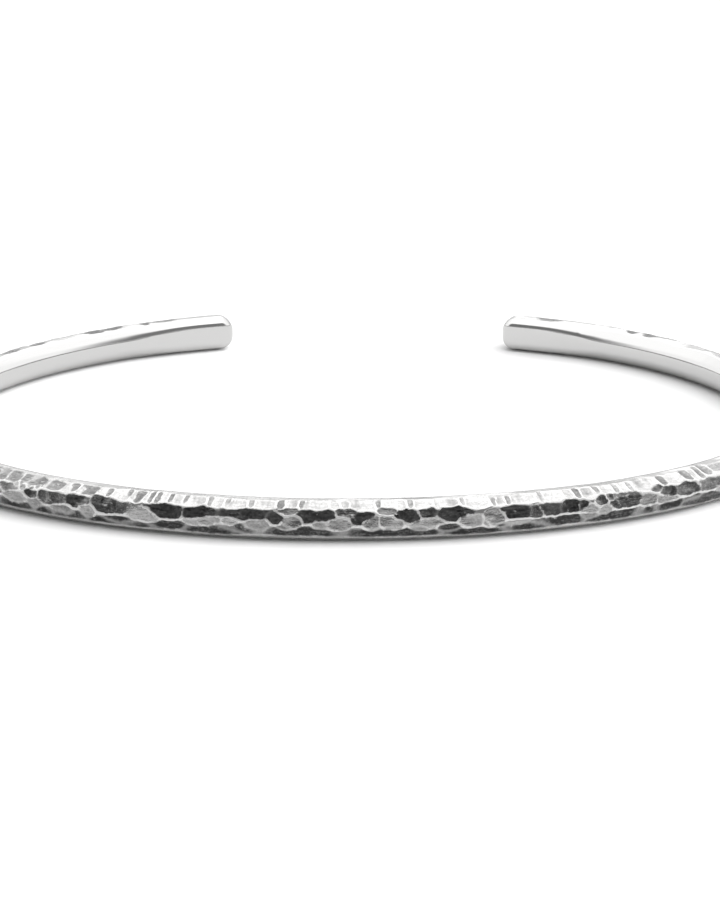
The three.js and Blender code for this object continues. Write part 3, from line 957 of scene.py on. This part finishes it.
    def struck(self, bar: Number) -> Number:
        """Strikes every blow of the chart on the bar, one after another.

        Args:
            bar: the grid of the bar.

        Returns:
            The grid with the radius, darkening and halo of the hammered bar; in the dents the
            darkening is partly oxidised silver and partly a painted dark reflection.
        """
        wiring, size = self.wiring, self.size
        start = self.tree.nodes.new("GeometryNodeRepeatInput")
        end = self.tree.nodes.new("GeometryNodeRepeatOutput")
        start.pair_with_output(end)
        inputs = {"Geometry": self.chart}
        blows = wiring.take("GeometryNodeAttributeDomainSize", inputs, "Point Count")
        wiring.feed(start.inputs["Iterations"], blows)
        wiring.feed(start.inputs["Geometry"], bar)
        count = Number(wiring, start.outputs["Iteration"])
        blow = {column.name: self.column(column.name, count) for column in fields(Blow)}
        ahead = wiring.stored("along") - blow["along"]
        round_by = wiring.stored("turn") - wiring.math("RADIANS", blow["faces"])
        round_by = wiring.math("WRAP", round_by, -math.pi, math.pi)
        inputs = {
            0: wiring.math("LESS_THAN", abs(ahead), size["Reach Along"]),
            1: wiring.math("LESS_THAN", abs(round_by), wiring.math("RADIANS", size["Reach Turn"])),
        }
        near = wiring.take("FunctionNodeBooleanMath", inputs, operation="AND")
        before, face = wiring.stored("radius"), self.face(blow, count, ahead, round_by)
        gap = face - before
        cut = wiring.smooth(gap, size["Oxide Edge"], -size["Oxide Edge"])
        close = wiring.smooth(abs(gap), size["Halo"], 0.0)
        closer = wiring.math("MAXIMUM", wiring.stored("halo"), close)
        # Within a blow, its darkening (partly oxidised silver, partly painted shade) is laid on.
        values = {
            "halo": wiring.between(cut, closer, close),
            "oxide": wiring.between(cut, wiring.stored("oxide"), blow["oxide"]),
            "radius": wiring.math("SMOOTH_MIN", before, face, size["Ridge"]),
        }
        mesh = Number(wiring, start.outputs["Geometry"])
        for name, value in values.items():
            mesh = wiring.store(mesh, name, value, where=near)
        wiring.feed(end.inputs["Geometry"], mesh)
        return Number(wiring, end.outputs["Geometry"])

    def bent(self, line: Number, bar: Number) -> Number:
        """Bends the flat grid round the centre line and closes its ends.

        Args:
            line: the centre line.
            bar: the grid with its final radius.

        Returns:
            The bar's mesh, in metres.
        """
        wiring, size = self.wiring, self.size
        along, turn, radius = (wiring.stored(name) for name in ("along", "turn", "radius"))
        past = abs(along) - (size["Reach"] - size["End Length"])
        past = wiring.math("MAXIMUM", past, 0.0) / size["End Length"]
        power = size["End Power"]
        open_part = wiring.math("MAXIMUM", self.NEARLY_ONE - past ** power, 0.0)
        radius = radius * open_part ** (1.0 / power)
        out, up = radius * wiring.math("COSINE", turn), radius * wiring.math("SINE", turn)
        sample = wiring.put(
            "GeometryNodeSampleCurve",
            {"Curves": line, "Length": along + size["Reach"]},
            mode="LENGTH",
            use_all_curves=True,
        ).outputs
        upward = (0.0, 0.0, 1.0)
        outward = wiring.vector("CROSS_PRODUCT", sample["Tangent"], upward)
        outward = wiring.vector("SCALE", wiring.vector("NORMALIZE", outward), out)
        place = wiring.vector("ADD", sample["Position"], outward)
        place = wiring.vector("ADD", place, wiring.vector("SCALE", upward, up))
        place = wiring.vector("SCALE", place, MM)
        unbent = wiring.take("ShaderNodeCombineXYZ", {"X": along, "Y": out, "Z": up})
        marked = wiring.store(bar, "unbent", unbent, "FLOAT_VECTOR")
        moved = wiring.take("GeometryNodeSetPosition", {"Geometry": marked, "Position": place})
        inputs = {"Geometry": moved, "Distance": self.JOIN}
        closed = wiring.take("GeometryNodeMergeByDistance", inputs)
        return wiring.take("GeometryNodeSetShadeSmooth", {"Geometry": closed})

    def rimmed(self, bar: Number) -> Number:
        """Stores how sharply the surface bends at each point, so that the rims can be lightened,
        partly as polish and partly as a painted highlight.

        Args:
            bar: the finished bar, in metres.

        Returns:
            The bar with its bend, in 1/mm, above 0 where the surface is domed.
        """
        wiring = self.wiring
        angle = wiring.take("GeometryNodeInputMeshEdgeAngle", {}, "Signed Angle")
        ends = wiring.put("GeometryNodeInputMeshEdgeVertices", {}).outputs
        edge = wiring.vector("SUBTRACT", ends["Position 1"], ends["Position 2"])
        area = wiring.take("GeometryNodeInputMeshFaceArea", {})
        area = wiring.math("MAXIMUM", area, self.LEAST_AREA)
        bend = angle / (area / wiring.vector("LENGTH", edge)) * MM
        for domain in ("EDGE", "POINT"):
            bend = wiring.take("GeometryNodeFieldOnDomain", {0: bend}, domain=domain)
        return wiring.store(bar, "bend", bend)


@dataclass
class HammeredCuff:
    """The cuff: an oval bar, hammered outside and on top, with rounded ends."""

    # The oval centre line, and how far the finished ends stand back from it.
    half_span: float = 31.55
    front_depth: float = 23.4
    back_depth: float = 29.75
    back_fullness: float = 2.1
    mouth_turn: float = 19.4
    end_back: float = 1.26
    # The bar's section: its reach each way, and a dome inside that grows towards the ends.
    bar_out: float = 1.66
    bar_in: float = 1.5
    bar_up: float = 1.35
    bar_foot: float = 1.33
    bar_dome: float = 1.61
    end_dome: float = 2.04
    end_dome_from: float = 10.0
    end_dome_to: float = 3.0
    fullness: float = 2.1
    edge: float = 0.15
    end_length: float = 1.2
    end_power: float = 2.0
    # How a blow meets the bar, how softly its darkening sets in (partly oxidised silver, partly
    # a painted dark reflection), and how far it is looked for.
    ridge: float = 0.07
    oxide_edge: float = 0.035
    halo: float = 0.07
    spread: float = 1.4
    face_bowl: float = 0.02
    uneven: float = 0.95
    uneven_scale: float = 1.3
    reach_along: float = 4.5
    reach_turn: float = 75.0
    # The painted shade underneath, by the turns that it lies between.
    dull: float = 0.65
    dull_from: float = 33.0
    dull_to: float = 39.0
    dull_until: float = 44.0
    dull_end: float = 56.0
    dull_loss: float = 0.8
    dull_inside: float = 0.1
    dull_from_inside: float = 15.0
    dull_to_inside: float = 65.0
    # How many rings and sides the mesh has, and where they crowd.
    rings: int = 1280
    sides: int = 76
    oval_steps: int = 2000
    front_crowding: float = 0.3
    end_share: float = 0.02
    crowding: float = 0.45
    crowd_turn: float = 15.0
    blows: list[Blow] = field(default_factory=list)

    NOT_IN_TREE = ("end_back", "blows")
    SOCKETS = {
        float: "NodeSocketFloat",
        int: "NodeSocketInt",
        bpy.types.Material: "NodeSocketMaterial",
    }

    def reach(self) -> float:
        """Length along the centre line from the middle of the front to an end.

        Returns:
            The length.
        """
        last = math.pi - math.radians(self.mouth_turn)
        angles = [last * step / self.oval_steps for step in range(self.oval_steps + 1)]
        places = [self.oval_point(angle) for angle in angles]
        return sum((there - here).length for here, there in zip(places, places[1:]))

    def oval_point(self, angle: float) -> Vector:
        """A point of the centre line in plan, about the oval's middle.

        Args:
            angle: how far round the oval from the middle of the front, in radians.

        Returns:
            The point, in millimetres.
        """
        across, ahead = math.sin(angle), math.cos(angle)
        if ahead > 0:
            return Vector((self.half_span * across, -self.front_depth * ahead))
        share = 2 / self.back_fullness
        across = math.copysign(abs(across) ** share, across)
        return Vector((self.half_span * across, self.back_depth * (-ahead) ** share))

    def middle(self) -> float:
        """How far the oval's middle stands in front of the finished cuff's."""
        back = self.oval_point(math.radians(180 - self.mouth_turn)).y + self.end_back
        return (back - self.front_depth - self.bar_out) / 2

    def chart(self) -> bpy.types.Object:
        """The blows as a mesh of points, with the columns of the table as attributes.

        Returns:
            The chart's object, in the scene.
        """
        mesh = bpy.data.meshes.new("blow_chart")
        mesh.from_pydata([(0.0, 0.0, 0.0)] * len(self.blows), [], [])
        for column in fields(Blow):
            attribute = mesh.attributes.new(column.name, "FLOAT", "POINT")
            values = [getattr(blow, column.name) for blow in self.blows]
            attribute.data.foreach_set("value", values)
        return placed("blow_chart", mesh)

    def inputs(self, material: bpy.types.Material) -> dict[str, tuple[str, object]]:
        """The named inputs of the tree: the cuff's own sizes, such as Half Span, and its finish.

        Args:
            material: the bar's finish.

        Returns:
            The socket type and the value of each input by its name.
        """
        sizes = {
            size.name.replace("_", " ").title(): getattr(self, size.name)
            for size in fields(self)
            if size.name not in self.NOT_IN_TREE
        }
        sizes |= {"Middle": self.middle(), "Reach": self.reach(), "Finish": material}
        return {name: (self.SOCKETS[type(value)], value) for name, value in sizes.items()}

    def build(self, finish: PolishedSilver) -> bpy.types.Object:
        """Makes the cuff's mesh and dresses it.

        Args:
            finish: the silver's finish.

        Returns:
            The finished piece.
        """
        inputs = self.inputs(finish.build())
        chart = self.chart()
        modifier = chart.modifiers.new("hammered_bar", "NODES")
        modifier.node_group = BarTree(inputs).build()
        for item in modifier.node_group.interface.items_tree:
            if item.name in inputs:
                modifier[item.identifier] = inputs[item.name][1]
        seen = chart.evaluated_get(bpy.context.evaluated_depsgraph_get())
        mesh = bpy.data.meshes.new_from_object(seen)
        mesh.name = "hammered_cuff"
        bpy.data.objects.remove(chart)
        return placed("hammered_cuff", mesh)


# ------------------------------------------------------------ the studio


@dataclass(frozen=True)
class Studio:
    """A pale room with one large lamp overhead and the dark camera side in front.

    Heights and sides are in degrees, as seen from the cuff; a side of 0 is straight in front.
    The table's size and the camera's near and far are in metres, and light is in strengths.
    """

    # The table, its colour as the silver mirrors it, and the backdrop that the camera sees.
    table_size: float = 6.0
    table_color: Color = (0.92, 0.92, 0.92, 1.0)
    table_mirrored: Color = (0.7, 0.7, 0.7, 1.0)
    backdrop: float = 1.0
    # The light on matte things, and the share by which it grows towards the right.
    tent: float = 1.45
    tent_right: float = 0.95
    # The lamp: how far it reaches to the sides, front and back for each unit up.
    lamp: float = 1.75
    lamp_half_width: float = 0.3
    lamp_front: float = -0.2
    lamp_back: float = 3.6
    lamp_soft: float = 0.08
    lamp_back_soft: float = 1.4
    horizon: float = 0.001
    # The walls, their dimmer part low down behind, and the dark skirt along their foot.
    wall: float = 1.3
    wall_behind: float = 0.85
    behind_from: float = 130.0
    behind_full: float = 150.0
    behind_height: float = 20.0
    behind_full_height: float = 14.0
    skirt: float = 0.4
    skirt_height: float = 5.0
    skirt_soft: float = 1.0
    # The ceiling, and then the dark side in front.
    ceiling: float = 1.45
    ceiling_from_height: float = 30.0
    ceiling_full_height: float = 42.0
    dark: float = 0.22
    dark_to: float = 62.0
    dark_end: float = 95.0
    dark_from_height: float = 3.0
    dark_full_height: float = 9.0
    # The camera's place about the cuff, and its lens.
    distance: float = 230.0
    elevation: float = 15.88
    azimuth: float = 2.94
    roll: float = -0.58
    focal: float = 126.3
    sensor: float = 36.0
    shift_across: float = 0.00994
    shift_up: float = -0.00998
    near: float = 0.01
    far: float = 20.0

    def table(self) -> bpy.types.Object:
        """The table top, a plain pale sheet.

        Returns:
            The table's object.
        """
        half = self.table_size / 2
        corners = [(-half, -half, 0), (half, -half, 0), (half, half, 0), (-half, half, 0)]
        mesh = bpy.data.meshes.new("table")
        mesh.from_pydata(corners, [], [(0, 1, 2, 3)])
        material = bpy.data.materials.new("pale_table")
        wiring = wired(material)
        mirrored = wiring.take("ShaderNodeLightPath", {}, "Is Glossy Ray")
        color = wiring.blend(mirrored, self.table_color, self.table_mirrored)
        matte = wiring.take("ShaderNodeBsdfDiffuse", {"Color": color})
        wiring.put("ShaderNodeOutputMaterial", {"Surface": matte})
        mesh.materials.append(material)
        return placed("table", mesh)

    def lamp_share(self, wiring: Wiring, direction: list[Number]) -> Number:
        """Where the lamp is: a soft-edged band across the ceiling.

        Args:
            wiring: the world's tree.
            direction: the three parts of the way that is looked.

        Returns:
            The lamp's share of the light from there.
        """
        across, ahead, up = direction
        above = wiring.math("MAXIMUM", up, self.horizon)
        across, ahead = abs(across / above), ahead / above
        width, soft, back_soft = self.lamp_half_width, self.lamp_soft, self.lamp_back_soft
        sides = wiring.smooth(across, width + soft, width - soft)
        front = wiring.smooth(ahead, self.lamp_front - soft, self.lamp_front + soft)
        back = wiring.smooth(ahead, self.lamp_back + back_soft, self.lamp_back - back_soft)
        return sides * front * back

    def mirrored_room(self, wiring: Wiring, direction: list[Number]) -> Number:
        """The light that the silver mirrors: walls, ceiling, dark side in front and lamp.

        Args:
            wiring: the world's tree.
            direction: the three parts of the way that is looked.

        Returns:
            The light from there.
        """
        across, ahead, up = direction
        height = wiring.math("DEGREES", wiring.math("ARCSINE", up))
        side = abs(wiring.math("DEGREES", wiring.math("ARCTAN2", across, -ahead)))
        in_front = wiring.smooth(side, self.dark_end, self.dark_to)
        in_front = in_front * wiring.smooth(height, self.dark_from_height, self.dark_full_height)
        behind = wiring.smooth(side, self.behind_from, self.behind_full)
        behind = behind * wiring.smooth(height, self.behind_height, self.behind_full_height)
        overhead = wiring.smooth(height, self.ceiling_from_height, self.ceiling_full_height)
        top, foot = self.skirt_height + self.skirt_soft, self.skirt_height - self.skirt_soft
        light = wiring.between(behind, self.wall, self.wall_behind)
        light = wiring.between(overhead, light, self.ceiling)
        light = wiring.between(wiring.smooth(height, top, foot), light, self.skirt)
        light = wiring.between(in_front, light, self.dark)
        return wiring.between(self.lamp_share(wiring, direction), light, self.lamp)

    def room(self) -> None:
        """The room all round, as the world: plain to the camera, and a tent to matte things."""
        world = bpy.data.worlds.new("room")
        wiring = wired(world)
        direction = wiring.split(wiring.take("ShaderNodeTexCoord", {}, "Generated"))
        tent = direction[0] * (self.tent * self.tent_right) + self.tent
        mirrored = wiring.take("ShaderNodeLightPath", {}, "Is Glossy Ray")
        seen = wiring.take("ShaderNodeLightPath", {}, "Is Camera Ray")
        light = wiring.between(mirrored, tent, self.mirrored_room(wiring, direction))
        light = wiring.between(seen, light, self.backdrop)
        white = (1.0, 1.0, 1.0, 1.0)
        background = wiring.take("ShaderNodeBackground", {"Color": white, "Strength": light})
        wiring.put("ShaderNodeOutputWorld", {"Surface": background})
        bpy.context.scene.world = world

    def camera(self) -> bpy.types.Object:
        """The camera, not yet on its stand.

        Returns:
            The camera's object.
        """
        lens = bpy.data.cameras.new("camera")
        lens.lens = self.focal
        lens.sensor_width = self.sensor
        lens.sensor_fit = "AUTO"
        lens.shift_x = self.shift_across
        lens.shift_y = self.shift_up
        lens.clip_start = self.near
        lens.clip_end = self.far
        return placed("camera", lens)

    def build(self, middle: Vector) -> bpy.types.Object:
        """Puts up the room, the table and the camera.

        Args:
            middle: the point on the table that the camera's stand is measured from.

        Returns:
            The table, which isn't part of the cuff.
        """
        self.room()
        table = self.table()
        camera = self.camera()
        azimuth, elevation = math.radians(self.azimuth), math.radians(self.elevation)
        level = Vector((math.sin(azimuth), -math.cos(azimuth), 0.0))
        upward = Vector((0.0, 0.0, math.sin(elevation)))
        camera.location = middle + self.distance * MM * (math.cos(elevation) * level + upward)
        facing = (middle - camera.location).to_track_quat("-Z", "Y")
        camera.rotation_euler = facing.to_euler()
        camera.rotation_euler.rotate_axis("Z", math.radians(self.roll))
        scene = bpy.context.scene
        scene.camera = camera
        scene.view_settings.view_transform = "Standard"
        return table


def main() -> None:
    """Builds the cuff, dresses it and puts up the studio."""
    cuff = HammeredCuff()
    cuff.blows = Hand().strike(cuff.reach())
    piece = cuff.build(PolishedSilver())
    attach(piece, "root")
    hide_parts("cuff")
    log.info("%s: %d faces from %d blows", piece.name, len(piece.data.polygons), len(cuff.blows))
    table = Studio().build(Vector((0.0, -cuff.middle() * MM, 0.0)))
    log.info("%s: stage", table.name)


if __name__ == "__main__":
    main()
